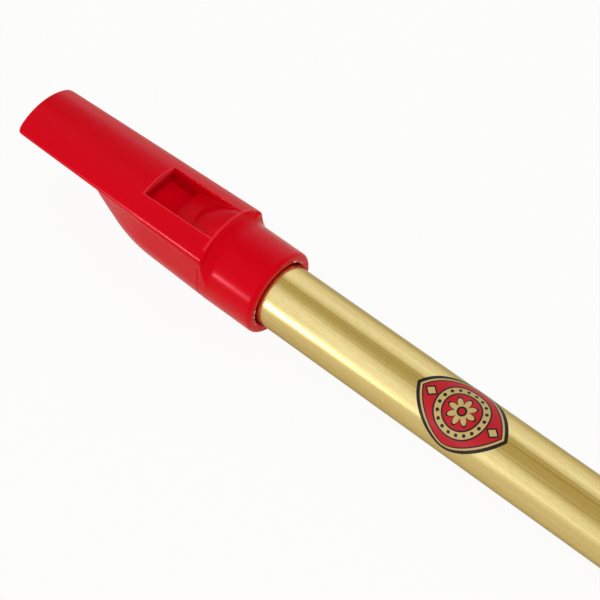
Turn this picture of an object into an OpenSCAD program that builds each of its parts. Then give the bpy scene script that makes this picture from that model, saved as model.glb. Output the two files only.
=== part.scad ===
// Six-hole flageolet: a brass tube with a one-piece moulded whistle head.
// The X axis is the tube's axis. The origin is the centre of the open foot, +X points out of the foot,
// the head is at the -X end, and +Z is up, through the window and the finger holes.

/* [Tube] */
// Outside diameter of the tube
tube_od = 10.3; // [9.6:0.1:11]
// Thickness of the tube's wall
tube_wall = 0.37; // [0.25:0.01:0.5]
// Length of tube between the head's collar and the foot
tube_exposed = 179.5; // [170:0.5:200]

/* [Finger holes] */
// Distance of the first hole from the foot
hole1_from_foot = 32; // [28:0.5:36]
// Distance of the second hole from the foot
hole2_from_foot = 49; // [45:0.5:53]
// Distance of the third hole from the foot
hole3_from_foot = 61.5; // [60:0.5:66]
// Distance of the fourth hole from the foot
hole4_from_foot = 82; // [76:0.5:87]
// Distance of the fifth hole from the foot
hole5_from_foot = 97.5; // [95:0.5:102]
// Distance of the sixth hole from the foot
hole6_from_foot = 113; // [110:0.5:120]
// Diameter of the first hole
hole1_d = 4.5; // [3.5:0.1:5.5]
// Diameter of the second hole
hole2_d = 6; // [5:0.1:6.8]
// Diameter of the third hole
hole3_d = 4.8; // [3.8:0.1:5.8]
// Diameter of the fourth hole
hole4_d = 5.1; // [4:0.1:6]
// Diameter of the fifth hole
hole5_d = 5.7; // [4.6:0.1:6.6]
// Diameter of the sixth hole
hole6_d = 4.8; // [3.8:0.1:5.8]

/* [Tuning joint] */
// Depth of the socket, from the collar's mouth to its shoulder
socket_depth = 12.5; // [11:0.1:14]
// Gap between the tube's end and the socket's shoulder
seat_gap = 0.2; // [0.1:0.05:0.6]
// Thickness of the sealing film between tube and socket
film_thickness = 0.13; // [0.08:0.01:0.25]
// Distance of the film's edge from the collar's mouth
film_inset = 0.6; // [0.3:0.1:1.5]
// Radial clearance on each side of the film
film_clearance = 0.02; // [0.015:0.005:0.05]
// Width of the chamfer inside the collar's mouth
mouth_chamfer = 0.25; // [0.1:0.05:0.5]

/* [Collar] */
// Outside diameter of the collar
collar_od = 13.8; // [13.1:0.1:14.4]
// Length of the collar, from its mouth to the end of the hood
collar_length = 9.55; // [8.5:0.05:10.5]
// Radius of the rounding on the collar's rim
collar_rim_r = 0.8; // [0.3:0.05:1]
// Radius of the cove that sweeps from the collar up to the hood
cove_r = 2.2; // [2:0.1:3]
// Depth by which the cove's foot dips into the collar
cove_dip = 0.05; // [0.03:0.01:0.1]

/* [Hood] */
// Length of the head, from the collar's mouth to the beak's tip
head_length = 47.75; // [44.5:0.05:52]
// Height of the hood's top above the tube's axis, at its collar end
hood_top = 8.45; // [8.2:0.05:9]
// Radius of the hood's rounded top
hood_arc_r = 8.95; // [8.6:0.05:10]
// Angle by which the hood's top falls towards the tip
hood_slope = 2.8; // [2:0.1:3.2]
// Width of the hood at its collar end
hood_w = 12.8; // [12:0.1:13.2]
// Width of the beak at its tip
tip_w = 10.9; // [10:0.1:12]
// Radius of the tip's corners, seen from above
tip_corner_r = 1.2; // [0.5:0.1:2]
// Height of the beak's underside above the tube's axis, at the middle
beak_under = 2.4; // [2:0.1:2.8]
// Radius of the beak's rounded underside
beak_under_r = 9.7; // [9:0.1:12]

/* [Belly] */
// Diameter of the belly at its collar end
belly_od = 13.7; // [13:0.1:14.2]
// Angle of the belly's slow taper
belly_taper = 2; // [1:0.1:3]
// Angle of the nose below the beak
nose_angle = 18.3; // [16:0.1:20]
// Distance from the collar's mouth at which taper and nose would meet
nose_start = 24.75; // [23.5:0.05:26.5]
// Length of the rounding between taper and nose, on each side
nose_blend = 4; // [2:0.5:6]
// Inset of the belly's upright cheeks from its round sides
cheek_inset = 0.15; // [0.1:0.05:0.4]
// Angle of the chin that rises from the nose to the beak
chin_angle = 52; // [45:1:60]
// Distance from the collar's mouth at which the chin reaches the beak
chin_top = 37; // [35.5:0.5:38.5]

/* [Voicing] */
// Width of the window and of the windway
window_w = 6.5; // [6:0.1:7]
// Distance of the ramp's upper end from the hood's end
ramp_land = 0.9; // [0.7:0.1:1.4]
// Distance of the window's beak end from the collar's mouth
window_beak = 23.35; // [22.9:0.05:24]
// Distance of the lip from the collar's mouth
lip_from_mouth = 18.8; // [18.2:0.05:19.1]
// Height of the lip's edge above the tube's axis
lip_height = 5.3; // [5.15:0.05:5.5]
// Angle of the flat ramp behind the lip
ramp_angle = 17; // [14:0.5:20]
// Distance from the collar's mouth at which the rounded ramp starts
round_ramp_from = 15.95; // [15:0.05:17]
// Height of the windway
windway_h = 1.1; // [0.8:0.05:1.3]
// Height of the windway's floor above the tube's axis, at the window
windway_floor = 4.75; // [4.5:0.05:4.9]
// Step by which the head's bore is narrower than the tube's, on each side
bore_step = 0.12; // [0.06:0.01:0.25]
// Thickness of the shelf under the windway
shelf_t = 1.3; // [1:0.1:1.6]
// Thickness of the wall around the cavity under the shelf
cavity_wall = 1.6; // [1.3:0.1:1.9]
// Distance of the cavity's blind end from the collar's mouth
cavity_end = 31.5; // [28.5:0.5:32.5]

/* [Decal] */
// Length of the decal along the tube
decal_l = 15.5; // [12:0.5:18]
// Angle by which the decal wraps around the tube
decal_wrap = 144; // [90:1:165]
// Thickness of the decal
decal_t = 0.04; // [0.03:0.01:0.1]
// Distance of the decal's middle from the collar's mouth
decal_from_mouth = 34.75; // [30:0.05:45]
// Angle of the decal's middle from the top of the tube, towards the player's right
decal_turn = 14; // [-40:1:40]

/* [Hidden] */
$fn = 96;
// Small overlap that keeps cuts clean
eps = 0.05;
// Length of cutting shapes that pass right through
far = 30;

brass = "#d8bd7a";
red = "#c60012";
clear_film = "#d9c9b0";
decal_red = "#b5121b";

tube_r = tube_od / 2;
tube_bore_r = tube_r - tube_wall;
mouth_x = -tube_exposed;
tube_length = tube_exposed + socket_depth - seat_gap;
film_in_r = tube_r + film_clearance;
film_out_r = film_in_r + film_thickness;
socket_r = film_out_r + film_clearance;
film_length = socket_depth - seat_gap - film_inset;
collar_r = collar_od / 2;
belly_r = belly_od / 2;
head_bore_r = tube_bore_r - bore_step;
decal_half_w = (tube_r + decal_t) * sin(decal_wrap / 2);
// Height at which the chin ends, halfway up the shelf
chin_high = beak_under + shelf_t / 2;
holes = [
    [hole1_from_foot, hole1_d],
    [hole2_from_foot, hole2_d],
    [hole3_from_foot, hole3_d],
    [hole4_from_foot, hole4_d],
    [hole5_from_foot, hole5_d],
    [hole6_from_foot, hole6_d]
];

// Radius of the belly where the taper and the nose would meet
nose_r = belly_r - (nose_start - collar_length) * tan(belly_taper);
// Rounding between taper and nose, tangent to both
blend_turn = nose_angle - belly_taper;
blend_r = nose_blend / tan(blend_turn / 2);
blend_from = nose_start - nose_blend * cos(belly_taper);
blend_from_r = nose_r + nose_blend * sin(belly_taper);
blend_centre = [blend_from_r - blend_r * cos(belly_taper), blend_from - blend_r * sin(belly_taper)];
// Distance from the mouth at which the nose would come to a point
nose_point = nose_start + nose_r / tan(nose_angle);
// Ramps behind the lip: the flat one, then a cone that comes out of the hood's top
window_foot = collar_length + ramp_land;
// End of the window's cut, between the ramp's upper end and the hood's end
window_cut_end = collar_length + ramp_land / 2;
round_ramp_low = lip_height + (lip_from_mouth - round_ramp_from) * tan(ramp_angle);
round_ramp_high = hood_top - ramp_land * tan(hood_slope);
round_ramp_rise = (round_ramp_high - round_ramp_low) / (round_ramp_from - window_foot);

// Points of an arc, from one angle to another
function arc(centre, r, from, to, steps = 16) = [
    for (i = [0 : steps])
        centre + r * [cos(from + (to - from) * i / steps), sin(from + (to - from) * i / steps)]
];

// Outline of the belly as radius and distance from the collar's mouth, drawn in by an inset
function belly_outline(inset) = concat(
    [[belly_r - inset, collar_length]],
    arc(blend_centre, blend_r - inset, belly_taper, nose_angle),
    [[0, nose_point - inset / sin(nose_angle)]]
);

// Turns a shape drawn along Z so that its Z runs from the collar's mouth to the beak and its X points up
module head_axis() {
    translate([mouth_x, 0, 0])
        rotate([0, -90, 0])
            children();
}

// Stands a side-view outline, drawn as distance from the mouth and height, across the whole head
module side_prism(width) {
    translate([mouth_x, 0, 0])
        rotate([90, 0, 0])
            linear_extrude(width, center = true)
                mirror([1, 0])
                    children();
}

// Raises a plan outline, drawn as distance from the mouth and half-width
module plan_prism(low, high) {
    translate([mouth_x, 0, low])
        linear_extrude(high - low)
            mirror([1, 0])
                children();
}

// Seen from above: the hood and beak, with rounded tip corners
module hood_plan() {
    tip_half = tip_w / 2;
    draft = atan((hood_w - tip_w) / 2 / (head_length - collar_length));
    corner = [head_length - tip_corner_r, tip_half - tip_corner_r];
    side = concat([[collar_length, hood_w / 2]], arc(corner, tip_corner_r, 90 - draft, 0, 8));
    polygon(concat(side, [for (i = [len(side) - 1 : -1 : 0]) [side[i][0], -side[i][1]]]));
}

// Seen from above: the belly's upright cheeks
module cheek_plan() {
    side = [for (p = belly_outline(cheek_inset)) [p[1], p[0]]];
    polygon(concat(side, [for (i = [len(side) - 2 : -1 : 0]) [side[i][0], -side[i][1]]]));
}

// The rounded top that falls towards the tip
module hood_top_round() {
    axis_z = hood_top - hood_arc_r / cos(hood_slope);
    translate([mouth_x - collar_length, 0, axis_z])
        rotate([0, -90 - hood_slope, 0])
            cylinder(r = hood_arc_r, h = 3 * head_length, center = true);
}

// The rounded underside of the beak
module beak_under_round() {
    translate([mouth_x, 0, beak_under + beak_under_r])
        rotate([0, -90, 0])
            cylinder(r = beak_under_r, h = 3 * head_length, center = true);
}

// Hood and beak, between the rounded top and the rounded underside
module hood() {
    intersection() {
        hood_top_round();
        beak_under_round();
        plan_prism(0, far)
            hood_plan();
    }
}

// Round lower body that narrows to a nose, with upright cheeks up to the hood and a chin below the beak
module belly() {
    difference() {
        union() {
            head_axis()
                rotate_extrude()
                    polygon(concat([[0, collar_length]], belly_outline(0)));
            intersection() {
                hood_top_round();
                plan_prism(0, far)
                    hood_plan();
                plan_prism(0, far)
                    cheek_plan();
            }
        }
        side_prism(far)
            polygon([
                [chin_top, chin_high],
                [chin_top - (chin_high + far) / tan(chin_angle), -far],
                [chin_top + far, -far],
                [chin_top + far, chin_high]
            ]);
    }
}

// Round collar with a rounded rim
module collar() {
    head_axis()
        rotate_extrude() {
            square([collar_r - collar_rim_r, collar_length + eps]);
            translate([0, collar_rim_r])
                square([collar_r, collar_length + eps - collar_rim_r]);
            translate([collar_r - collar_rim_r, collar_rim_r])
                circle(r = collar_rim_r);
        }
}

// Cove between the collar and the end of the hood, no wider than the hood
module cove() {
    intersection() {
        head_axis()
            rotate_extrude()
                difference() {
                    translate([0, collar_length - cove_r])
                        square([collar_r + cove_r, cove_r + eps]);
                    translate([collar_r + cove_r - cove_dip, collar_length - cove_r])
                        circle(r = cove_r);
                }
        hood_top_round();
        translate([mouth_x - collar_length - eps, -hood_w / 2, 0])
            cube([collar_length, hood_w, far]);
    }
}

// Socket for the tube and film, with a chamfered mouth
module socket_cut() {
    head_axis() {
        translate([0, 0, -eps])
            cylinder(r = socket_r, h = socket_depth + eps);
        translate([0, 0, -eps])
            cylinder(r1 = socket_r + mouth_chamfer + eps, r2 = socket_r, h = mouth_chamfer + eps);
    }
}

// Air column inside the head, and the blind cavity under the windway's shelf
module bore_cut() {
    head_axis()
        cylinder(r = head_bore_r, h = window_beak);
    intersection() {
        head_axis()
            rotate_extrude()
                intersection() {
                    polygon(concat([[0, collar_length]], belly_outline(cavity_wall)));
                    translate([0, window_beak - eps])
                        square([head_bore_r, cavity_end - window_beak + eps]);
                }
        translate([mouth_x - window_beak, 0, windway_floor])
            rotate([0, -hood_slope, 0])
                translate([-far, -far, -shelf_t - far])
                    cube([2 * far, 2 * far, far]);
    }
}

// Straight windway, parallel to the hood's top
module windway_cut() {
    translate([mouth_x - window_beak, 0, windway_floor])
        rotate([0, -hood_slope, 0])
            translate([-head_length, -window_w / 2, 0])
                cube([head_length + eps, window_w, windway_h]);
}

// Window above the lip and its ramps
module window_cut() {
    difference() {
        translate([mouth_x - window_beak, -window_w / 2, 0])
            cube([window_beak - window_cut_end, window_w, far]);
        side_prism(far)
            polygon([
                [lip_from_mouth, lip_height],
                [lip_from_mouth, -eps],
                [collar_length, -eps],
                [collar_length, lip_height + (lip_from_mouth - collar_length) * tan(ramp_angle)]
            ]);
        head_axis()
            translate([0, 0, collar_length])
                cylinder(
                    r1 = round_ramp_high + ramp_land * round_ramp_rise,
                    r2 = round_ramp_low - ramp_land * round_ramp_rise,
                    h = round_ramp_from - collar_length + ramp_land
                );
    }
}

// Brass tube with six finger holes in line
module tube() {
    color(brass)
        difference() {
            translate([-tube_length, 0, 0])
                rotate([0, 90, 0])
                    cylinder(r = tube_r, h = tube_length);
            translate([-tube_length - eps, 0, 0])
                rotate([0, 90, 0])
                    cylinder(r = tube_bore_r, h = tube_length + 2 * eps);
            for (hole = holes)
                translate([-hole[0], 0, 0])
                    cylinder(d = hole[1], h = tube_od);
        }
}

// Moulded head: beak, windway, window, lip, hood, belly and collar in one piece
module head() {
    color(red)
        difference() {
            union() {
                collar();
                belly();
                hood();
                cove();
            }
            socket_cut();
            bore_cut();
            windway_cut();
            window_cut();
        }
}

// Thin sealing film in the socket
module sealing_film() {
    color(clear_film)
        head_axis()
            translate([0, 0, film_inset])
                difference() {
                    cylinder(r = film_out_r, h = film_length);
                    translate([0, 0, -eps])
                        cylinder(r = film_in_r, h = film_length + 2 * eps);
                }
}

// Thin printed decal on the tube, a pointed oval
module decal() {
    oval_r = (pow(decal_l / 2, 2) + pow(decal_half_w, 2)) / (2 * decal_half_w);
    color(decal_red)
        translate([mouth_x + decal_from_mouth, 0, 0])
            rotate([decal_turn, 0, 0])
                difference() {
                    intersection() {
                        rotate([0, 90, 0])
                            cylinder(r = tube_r + decal_t, h = decal_l + eps, center = true);
                        linear_extrude(tube_od)
                            intersection_for (side = [-1, 1])
                                translate([0, side * (oval_r - decal_half_w)])
                                    circle(r = oval_r);
                    }
                    rotate([0, 90, 0])
                        cylinder(r = tube_r, h = decal_l + 2 * eps, center = true);
                }
}

tube();
head();
sealing_film();
decal();
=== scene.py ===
import logging
import math
from dataclasses import dataclass, field
from enum import Enum
from typing import Any, Callable, Sequence, Union

import bmesh
import bpy
import numpy as np
from mathutils import Matrix, Vector


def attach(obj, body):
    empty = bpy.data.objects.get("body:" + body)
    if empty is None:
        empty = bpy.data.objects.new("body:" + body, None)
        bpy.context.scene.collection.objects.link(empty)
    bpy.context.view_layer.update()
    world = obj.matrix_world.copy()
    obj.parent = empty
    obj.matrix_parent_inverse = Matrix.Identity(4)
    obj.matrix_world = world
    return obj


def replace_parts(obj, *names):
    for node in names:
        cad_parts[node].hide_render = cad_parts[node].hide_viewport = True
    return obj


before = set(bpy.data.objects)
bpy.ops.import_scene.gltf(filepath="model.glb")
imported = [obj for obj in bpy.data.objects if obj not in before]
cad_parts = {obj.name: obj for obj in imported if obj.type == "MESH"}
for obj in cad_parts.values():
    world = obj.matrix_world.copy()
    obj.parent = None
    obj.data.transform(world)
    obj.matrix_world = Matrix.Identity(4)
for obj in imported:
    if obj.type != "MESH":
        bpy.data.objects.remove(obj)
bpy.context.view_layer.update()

LOG = logging.getLogger("flageolet")
MM = 0.001
MOUTH_X = -179.5

MERGE = 1e-4
FINE_MERGE = 1e-5

Colour = tuple[float, float, float, float]
Pair = tuple[float, float]
Point = tuple[float, float, float]
Field = Callable[[float, np.ndarray, np.ndarray], np.ndarray]

WHITE: Colour = (1.0, 1.0, 1.0, 1.0)
DARK: Colour = (0.0, 0.0, 0.0, 1.0)


def smooth_max(a: np.ndarray, b: np.ndarray, k: float) -> np.ndarray:
    """Larger of two distances, with the corner between them rounded.

    Args:
        a: First distance.
        b: Second distance.
        k: Width of the rounding.

    Returns:
        The blended distance.
    """
    h = np.clip(0.5 + 0.5 * (a - b) / k, 0.0, 1.0)
    return b + (a - b) * h + k * h * (1.0 - h)


def smooth_min(a: np.ndarray, b: np.ndarray, k: float) -> np.ndarray:
    """Smaller of two distances, with the crease between them filled."""
    return -smooth_max(-a, -b, k)


@dataclass(frozen=True)
class Grain:
    """A random pattern: its stretch along each axis, its repeats in a millimetre and its finer layers."""

    stretch: Point = (1.0, 1.0, 1.0)
    scale: float = 1.0
    detail: float = 2.0


class Signal:
    """One number in a shader, with arithmetic that adds Math nodes."""

    def __init__(self, graph: "Graph", socket: bpy.types.NodeSocket) -> None:
        """Wraps a node's output socket."""
        self.graph = graph
        self.socket = socket

    def math(self, operation: str, *others: "Value", swap: bool = False) -> "Signal":
        """Adds a Math node.

        Args:
            operation: The Math node's operation.
            others: The other inputs, as numbers or signals.
            swap: Puts this signal second instead of first.

        Returns:
            The node's result.
        """
        values: list[Value] = [*others, self] if swap else [self, *others]
        node = self.graph.node("ShaderNodeMath", {"operation": operation}, dict(enumerate(values)))
        return Signal(self.graph, node.outputs[0])

    def __add__(self, other: "Value") -> "Signal":
        """Sum."""
        return self.math("ADD", other)

    __radd__ = __add__

    def __sub__(self, other: "Value") -> "Signal":
        """Difference."""
        return self.math("SUBTRACT", other)

    def __rsub__(self, other: "Value") -> "Signal":
        """Difference from a number."""
        return self.math("SUBTRACT", other, swap=True)

    def __mul__(self, other: "Value") -> "Signal":
        """Product."""
        return self.math("MULTIPLY", other)

    __rmul__ = __mul__

    def __abs__(self) -> "Signal":
        """Size without sign."""
        return self.math("ABSOLUTE")

    def above(self, edge: float, width: float) -> "Signal":
        """Mask that rises from 0 to 1 around an edge.

        Args:
            edge: Value at which the mask is one half.
            width: Width of the rise.

        Returns:
            The mask.
        """
        node = self.graph.node(
            "ShaderNodeMapRange",
            {"interpolation_type": "SMOOTHSTEP"},
            {"Value": self, "From Min": edge - width / 2, "From Max": edge + width / 2},
        )
        return Signal(self.graph, node.outputs[0])

    def below(self, edge: float, width: float) -> "Signal":
        """Mask that falls from 1 to 0 around an edge."""
        return 1.0 - self.above(edge, width)


Value = Union[float, Signal]


class Graph:
    """Node tree of one material or world."""

    def __init__(self, tree: bpy.types.NodeTree) -> None:
        """Takes a node tree and empties it."""
        self.tree = tree
        self.tree.nodes.clear()

    def node(
        self, kind: str, settings: dict[str, Any] | None = None, inputs: dict[Any, Any] | None = None
    ) -> bpy.types.Node:
        """Adds a node.

        Args:
            kind: Type of the node.
            settings: Properties that are set first; "stops" fills a colour ramp.
            inputs: Values, signals or sockets for the node's inputs, by name or place.

        Returns:
            The new node.
        """
        made = self.tree.nodes.new(kind)
        for name, value in (settings or {}).items():
            if name == "stops":
                self._fill_ramp(made, value)
            else:
                setattr(made, name, value)
        for name, value in (inputs or {}).items():
            socket = made.inputs[name]
            if isinstance(value, Signal):
                self.tree.links.new(value.socket, socket)
            elif isinstance(value, bpy.types.NodeSocket):
                self.tree.links.new(value, socket)
            else:
                socket.default_value = value
        return made

    @staticmethod
    def _fill_ramp(node: bpy.types.Node, stops: Sequence[tuple[float, Colour]]) -> None:
        """Sets a colour ramp's stops.

        Args:
            node: The colour ramp's node.
            stops: Places from 0 to 1, and the colour at each.
        """
        elements = node.color_ramp.elements
        while len(elements) < len(stops):
            elements.new(0.5)
        for element, (place, colour) in zip(elements, stops):
            element.position = place
            element.color = colour

    def signal(
        self, kind: str, output: str, settings: dict[str, Any] | None = None,
        inputs: dict[Any, Any] | None = None,
    ) -> Signal:
        """Adds a node and returns one of its outputs.

        Args:
            kind: Type of the node.
            output: Name of the output.
            settings: Properties that are set first.
            inputs: Values for the node's inputs.

        Returns:
            The output as a signal.
        """
        return Signal(self, self.node(kind, settings, inputs).outputs[output])

    def place(self, scale: Point) -> bpy.types.NodeSocket:
        """Object coordinates in millimetres, stretched.

        Args:
            scale: Stretch along each axis.

        Returns:
            The vector socket.
        """
        source = self.node("ShaderNodeTexCoord").outputs["Object"]
        grown = self.node(
            "ShaderNodeMapping", {"vector_type": "POINT"},
            {"Vector": source, "Scale": tuple(value / MM for value in scale)},
        )
        return grown.outputs["Vector"]

    def noise(self, grain: Grain) -> Signal:
        """Soft random pattern on the piece.

        Args:
            grain: The pattern's stretch, scale and detail.

        Returns:
            The pattern, from 0 to 1.
        """
        return self.signal(
            "ShaderNodeTexNoise", "Fac", {"noise_dimensions": "3D"},
            {"Vector": self.place(grain.stretch), "Scale": grain.scale, "Detail": grain.detail},
        )

    def mix(self, factor: Value, first: Any, second: Any) -> bpy.types.NodeSocket:
        """Mixes two colours.

        Args:
            factor: Share of the second colour.
            first: First colour.
            second: Second colour.

        Returns:
            The mixed colour's socket.
        """
        made = self.node(
            "ShaderNodeMix", {"data_type": "RGBA"}, {0: factor, 6: first, 7: second}
        )
        return made.outputs[2]

    def bump(self, height: Signal, distance: float, strength: float = 1.0) -> bpy.types.NodeSocket:
        """Fine relief.

        Args:
            height: The relief's height, from 0 to 1.
            distance: Depth in millimetres.
            strength: Share of the relief that shows.

        Returns:
            The normal's socket.
        """
        made = self.node(
            "ShaderNodeBump", None, {"Height": height, "Distance": distance * MM, "Strength": strength}
        )
        return made.outputs["Normal"]


@dataclass(frozen=True)
class Finish:
    """A surface finish: a name, and what stays the same all over it."""

    name: str

    def start(self) -> tuple[bpy.types.Material, Graph]:
        """Starts an empty material.

        Returns:
            The material and its nodes.
        """
        material = bpy.data.materials.new(self.name)
        material.use_nodes = True
        return material, Graph(material.node_tree)

    @staticmethod
    def close(graph: Graph, inputs: dict[str, Any]) -> None:
        """Ends a material with one Principled shader.

        Args:
            graph: The material's nodes.
            inputs: The shader's inputs.
        """
        shader = graph.node("ShaderNodeBsdfPrincipled", None, inputs)
        graph.node("ShaderNodeOutputMaterial", None, {"Surface": shader.outputs["BSDF"]})


@dataclass(frozen=True)
class RedPlastic(Finish):
    """Moulded red plastic with a soft gloss.

    Places are in millimetres: s from the collar's mouth, y across and z up from the tube's axis. An edge
    is the place where a mask changes and the width of the change.
    """

    name: str = "red_plastic"
    colour: Colour = (0.645, 0.0003, 0.0070, 1.0)
    deep: Colour = (0.605, 0.0002, 0.0060, 1.0)
    shine: Colour = (1.0, 0.14, 0.25, 1.0)
    # Painted highlight colour: lighter red for the top edges of the window and the hood's ridge, where they
    # catch the light.
    pale: Colour = (0.800, 0.035, 0.048, 1.0)
    # Painted glow colour: emission in the cavity behind the window, standing in for light through the
    # plastic.
    painted_glow_colour: Colour = (1.0, 0.0, 0.02, 1.0)
    roughness: float = 0.15
    scuff_rough: float = 0.08
    ior: float = 1.49
    specular: float = 0.22
    depth: float = 0.3
    depth_radius: Point = (1.0, 0.10, 0.10)
    depth_scale: float = 1.5
    grain_depth: float = 0.003
    cloud: Grain = Grain(scale=0.11)
    grain: Grain = Grain(scale=2.3, detail=3.0)
    scuff: Grain = Grain(scale=0.7, detail=4.0)
    # Strength of the painted glow in the cavity behind the window.
    painted_glow_strength: float = 0.17
    # Edges of the painted glow's mask: bore, nose, shelf face, and where it starts and ends along s.
    bore_edge: Pair = (4.72, 0.1)
    nose_edge: Pair = (5.7, 0.1)
    nose_from: float = 24.4
    nose_taper: float = 0.33
    shelf_edge: Pair = (3.8, 1.3)
    glow_from: Pair = (19.0, 5.0)
    glow_to: Pair = (31.8, 0.3)
    # Mask edges of the painted edge highlight, and how much of it shows.
    side_out: Pair = (-3.44, 0.1)
    side_in: Pair = (-3.22, 0.1)
    side_from: Pair = (9.9, 0.2)
    side_to: Pair = (23.4, 0.2)
    end_wide: Pair = (3.4, 0.1)
    end_from: Pair = (23.32, 0.1)
    end_to: Pair = (23.52, 0.1)
    ridge_wide: Pair = (6.2, 0.4)
    ridge_from: Pair = (9.5, 0.1)
    ridge_to: Pair = (9.9, 0.3)
    ridge_share: float = 0.7
    top_edge: Pair = (6.8, 0.3)
    edge_highlight_share: float = 0.8

    def make(self) -> bpy.types.Material:
        """Makes the material.

        Returns:
            The material.
        """
        material, graph = self.start()
        spot = graph.node("ShaderNodeSeparateXYZ", None, {"Vector": graph.place((1.0, 1.0, 1.0))})
        x, y, z = (Signal(graph, spot.outputs[axis]) for axis in "XYZ")
        s = MOUTH_X - x
        colour = graph.mix(graph.noise(self.cloud), self.deep, self.colour)
        self.close(graph, {
            # Painted edge highlight over the plastic's own tone.
            "Base Color": graph.mix(self._painted_edge_highlight(s, y, z) * self.edge_highlight_share, colour, self.pale),
            "Roughness": self.roughness + self.scuff_rough * graph.noise(self.scuff),
            "IOR": self.ior,
            "Specular IOR Level": self.specular,
            "Specular Tint": self.shine,
            "Subsurface Weight": self.depth,
            "Subsurface Radius": self.depth_radius,
            "Subsurface Scale": self.depth_scale * MM,
            # Painted glow: emission in the cavity behind the window.
            "Emission Color": graph.mix(self._painted_glow_mask(s, y, z), DARK, self.painted_glow_colour),
            "Emission Strength": self.painted_glow_strength,
            "Normal": graph.bump(graph.noise(self.grain), self.grain_depth),
        })
        return material

    def _painted_glow_mask(self, s: Signal, y: Signal, z: Signal) -> Signal:
        """Mask of the cavity behind the window, which gets a painted glow: emission that stands in for light
        coming through the plastic.

        Args:
            s: Distance from the collar's mouth.
            y: Place across.
            z: Height above the tube's axis.

        Returns:
            The mask.
        """
        reach = (y * y + z * z).math("SQRT")
        nose = reach + (s - self.nose_from) * self.nose_taper
        mask = reach.below(*self.bore_edge) * nose.below(*self.nose_edge) * z.below(*self.shelf_edge)
        return mask * s.above(*self.glow_from) * s.below(*self.glow_to)

    def _painted_edge_highlight(self, s: Signal, y: Signal, z: Signal) -> Signal:
        """Mask of the painted edge highlight: lighter red along the window's near side, its beak end and the
        ridge at the hood's end, on the top edges where light catches them.

        Args:
            s: Distance from the collar's mouth.
            y: Place across.
            z: Height above the tube's axis.

        Returns:
            The mask.
        """
        wide = abs(y)
        side = y.above(*self.side_out) * y.below(*self.side_in)
        side = side * s.above(*self.side_from) * s.below(*self.side_to)
        end = wide.below(*self.end_wide) * s.above(*self.end_from) * s.below(*self.end_to)
        ridge = s.above(*self.ridge_from) * s.below(*self.ridge_to) * wide.below(*self.ridge_wide)
        return side.math("MAXIMUM", end).math("MAXIMUM", ridge * self.ridge_share) * z.above(*self.top_edge)


@dataclass(frozen=True)
class LacqueredBrass(Finish):
    """Drawn brass under lacquer, with fine lengthwise streaks."""

    name: str = "lacquered_brass"
    colour: Colour = (0.800, 0.630, 0.260, 1.0)
    worn: Colour = (0.680, 0.510, 0.180, 1.0)
    mark: Colour = (0.500, 0.350, 0.110, 1.0)
    edge: Colour = (0.620, 0.580, 0.460, 1.0)
    streak: Grain = Grain((0.02, 1.0, 1.0), 3.2, 3.0)
    hair: Grain = Grain((0.012, 1.0, 1.0), 9.0, 2.0)
    mottle: Grain = Grain((0.5, 1.0, 1.0), 2.4, 5.0)
    lines: Grain = Grain((0.0035, 1.0, 1.0), 2.6, 2.0)
    streak_edge: Pair = (0.52, 0.4)
    streak_share: float = 0.5
    mottle_edge: Pair = (0.55, 0.35)
    mottle_share: float = 0.35
    line_edge: Pair = (0.635, 0.05)
    line_share: float = 0.45
    roughness: float = 0.14
    streak_rough: float = 0.08
    mottle_rough: float = 0.05
    lacquer: float = 0.15
    lacquer_rough: float = 0.09
    lacquer_ior: float = 1.6
    relief: Point = (0.5, 0.3, 0.2)
    relief_depth: float = 0.005

    def make(self) -> bpy.types.Material:
        """Makes the material.

        Returns:
            The material.
        """
        material, graph = self.start()
        streak, hair, mottle = (graph.noise(grain) for grain in (self.streak, self.hair, self.mottle))
        lines = graph.noise(self.lines).above(*self.line_edge)
        tint = streak.above(*self.streak_edge) * self.streak_share
        tint = tint + mottle.above(*self.mottle_edge) * self.mottle_share
        colour = graph.mix(tint, self.colour, self.worn)
        relief = hair * self.relief[0] + streak * self.relief[1] + mottle * self.relief[2]
        self.close(graph, {
            "Base Color": graph.mix(lines * self.line_share, colour, self.mark),
            "Metallic": 1.0,
            "Roughness": self.roughness + self.streak_rough * streak + self.mottle_rough * mottle,
            "Specular Tint": self.edge,
            "Coat Weight": self.lacquer,
            "Coat Roughness": self.lacquer_rough,
            "Coat IOR": self.lacquer_ior,
            "Normal": graph.bump(relief, self.relief_depth),
        })
        return material


@dataclass(frozen=True)
class SealingFilm(Finish):
    """Thin soft adhesive, a little waxy. The adhesive itself is pale; the default colours are darker, as
    painted shade for the gap at the collar's mouth.
    """

    name: str = "sealing_film"
    # Default colours are darker than the pale adhesive: painted shade in the gap at the collar's mouth.
    colour: Colour = (0.45, 0.28, 0.20, 1.0)
    pale: Colour = (0.60, 0.44, 0.34, 1.0)
    cloud: Grain = Grain(scale=1.8, detail=3.0)
    roughness: float = 0.35
    cloud_rough: float = 0.2
    relief_depth: float = 0.02

    def make(self) -> bpy.types.Material:
        """Makes the material.

        Returns:
            The material.
        """
        material, graph = self.start()
        cloud = graph.noise(self.cloud)
        self.close(graph, {
            "Base Color": graph.mix(cloud, self.colour, self.pale),
            "Roughness": self.roughness + self.cloud_rough * cloud,
            "Normal": graph.bump(cloud, self.relief_depth),
        })
        return material


class PrintInk(Enum):
    """Inks of the printed transfer."""

    RED = (0.500, 0.008, 0.016, 1.0)
    BLACK = (0.012, 0.010, 0.010, 1.0)
    GOLD = (0.520, 0.380, 0.145, 1.0)


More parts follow.
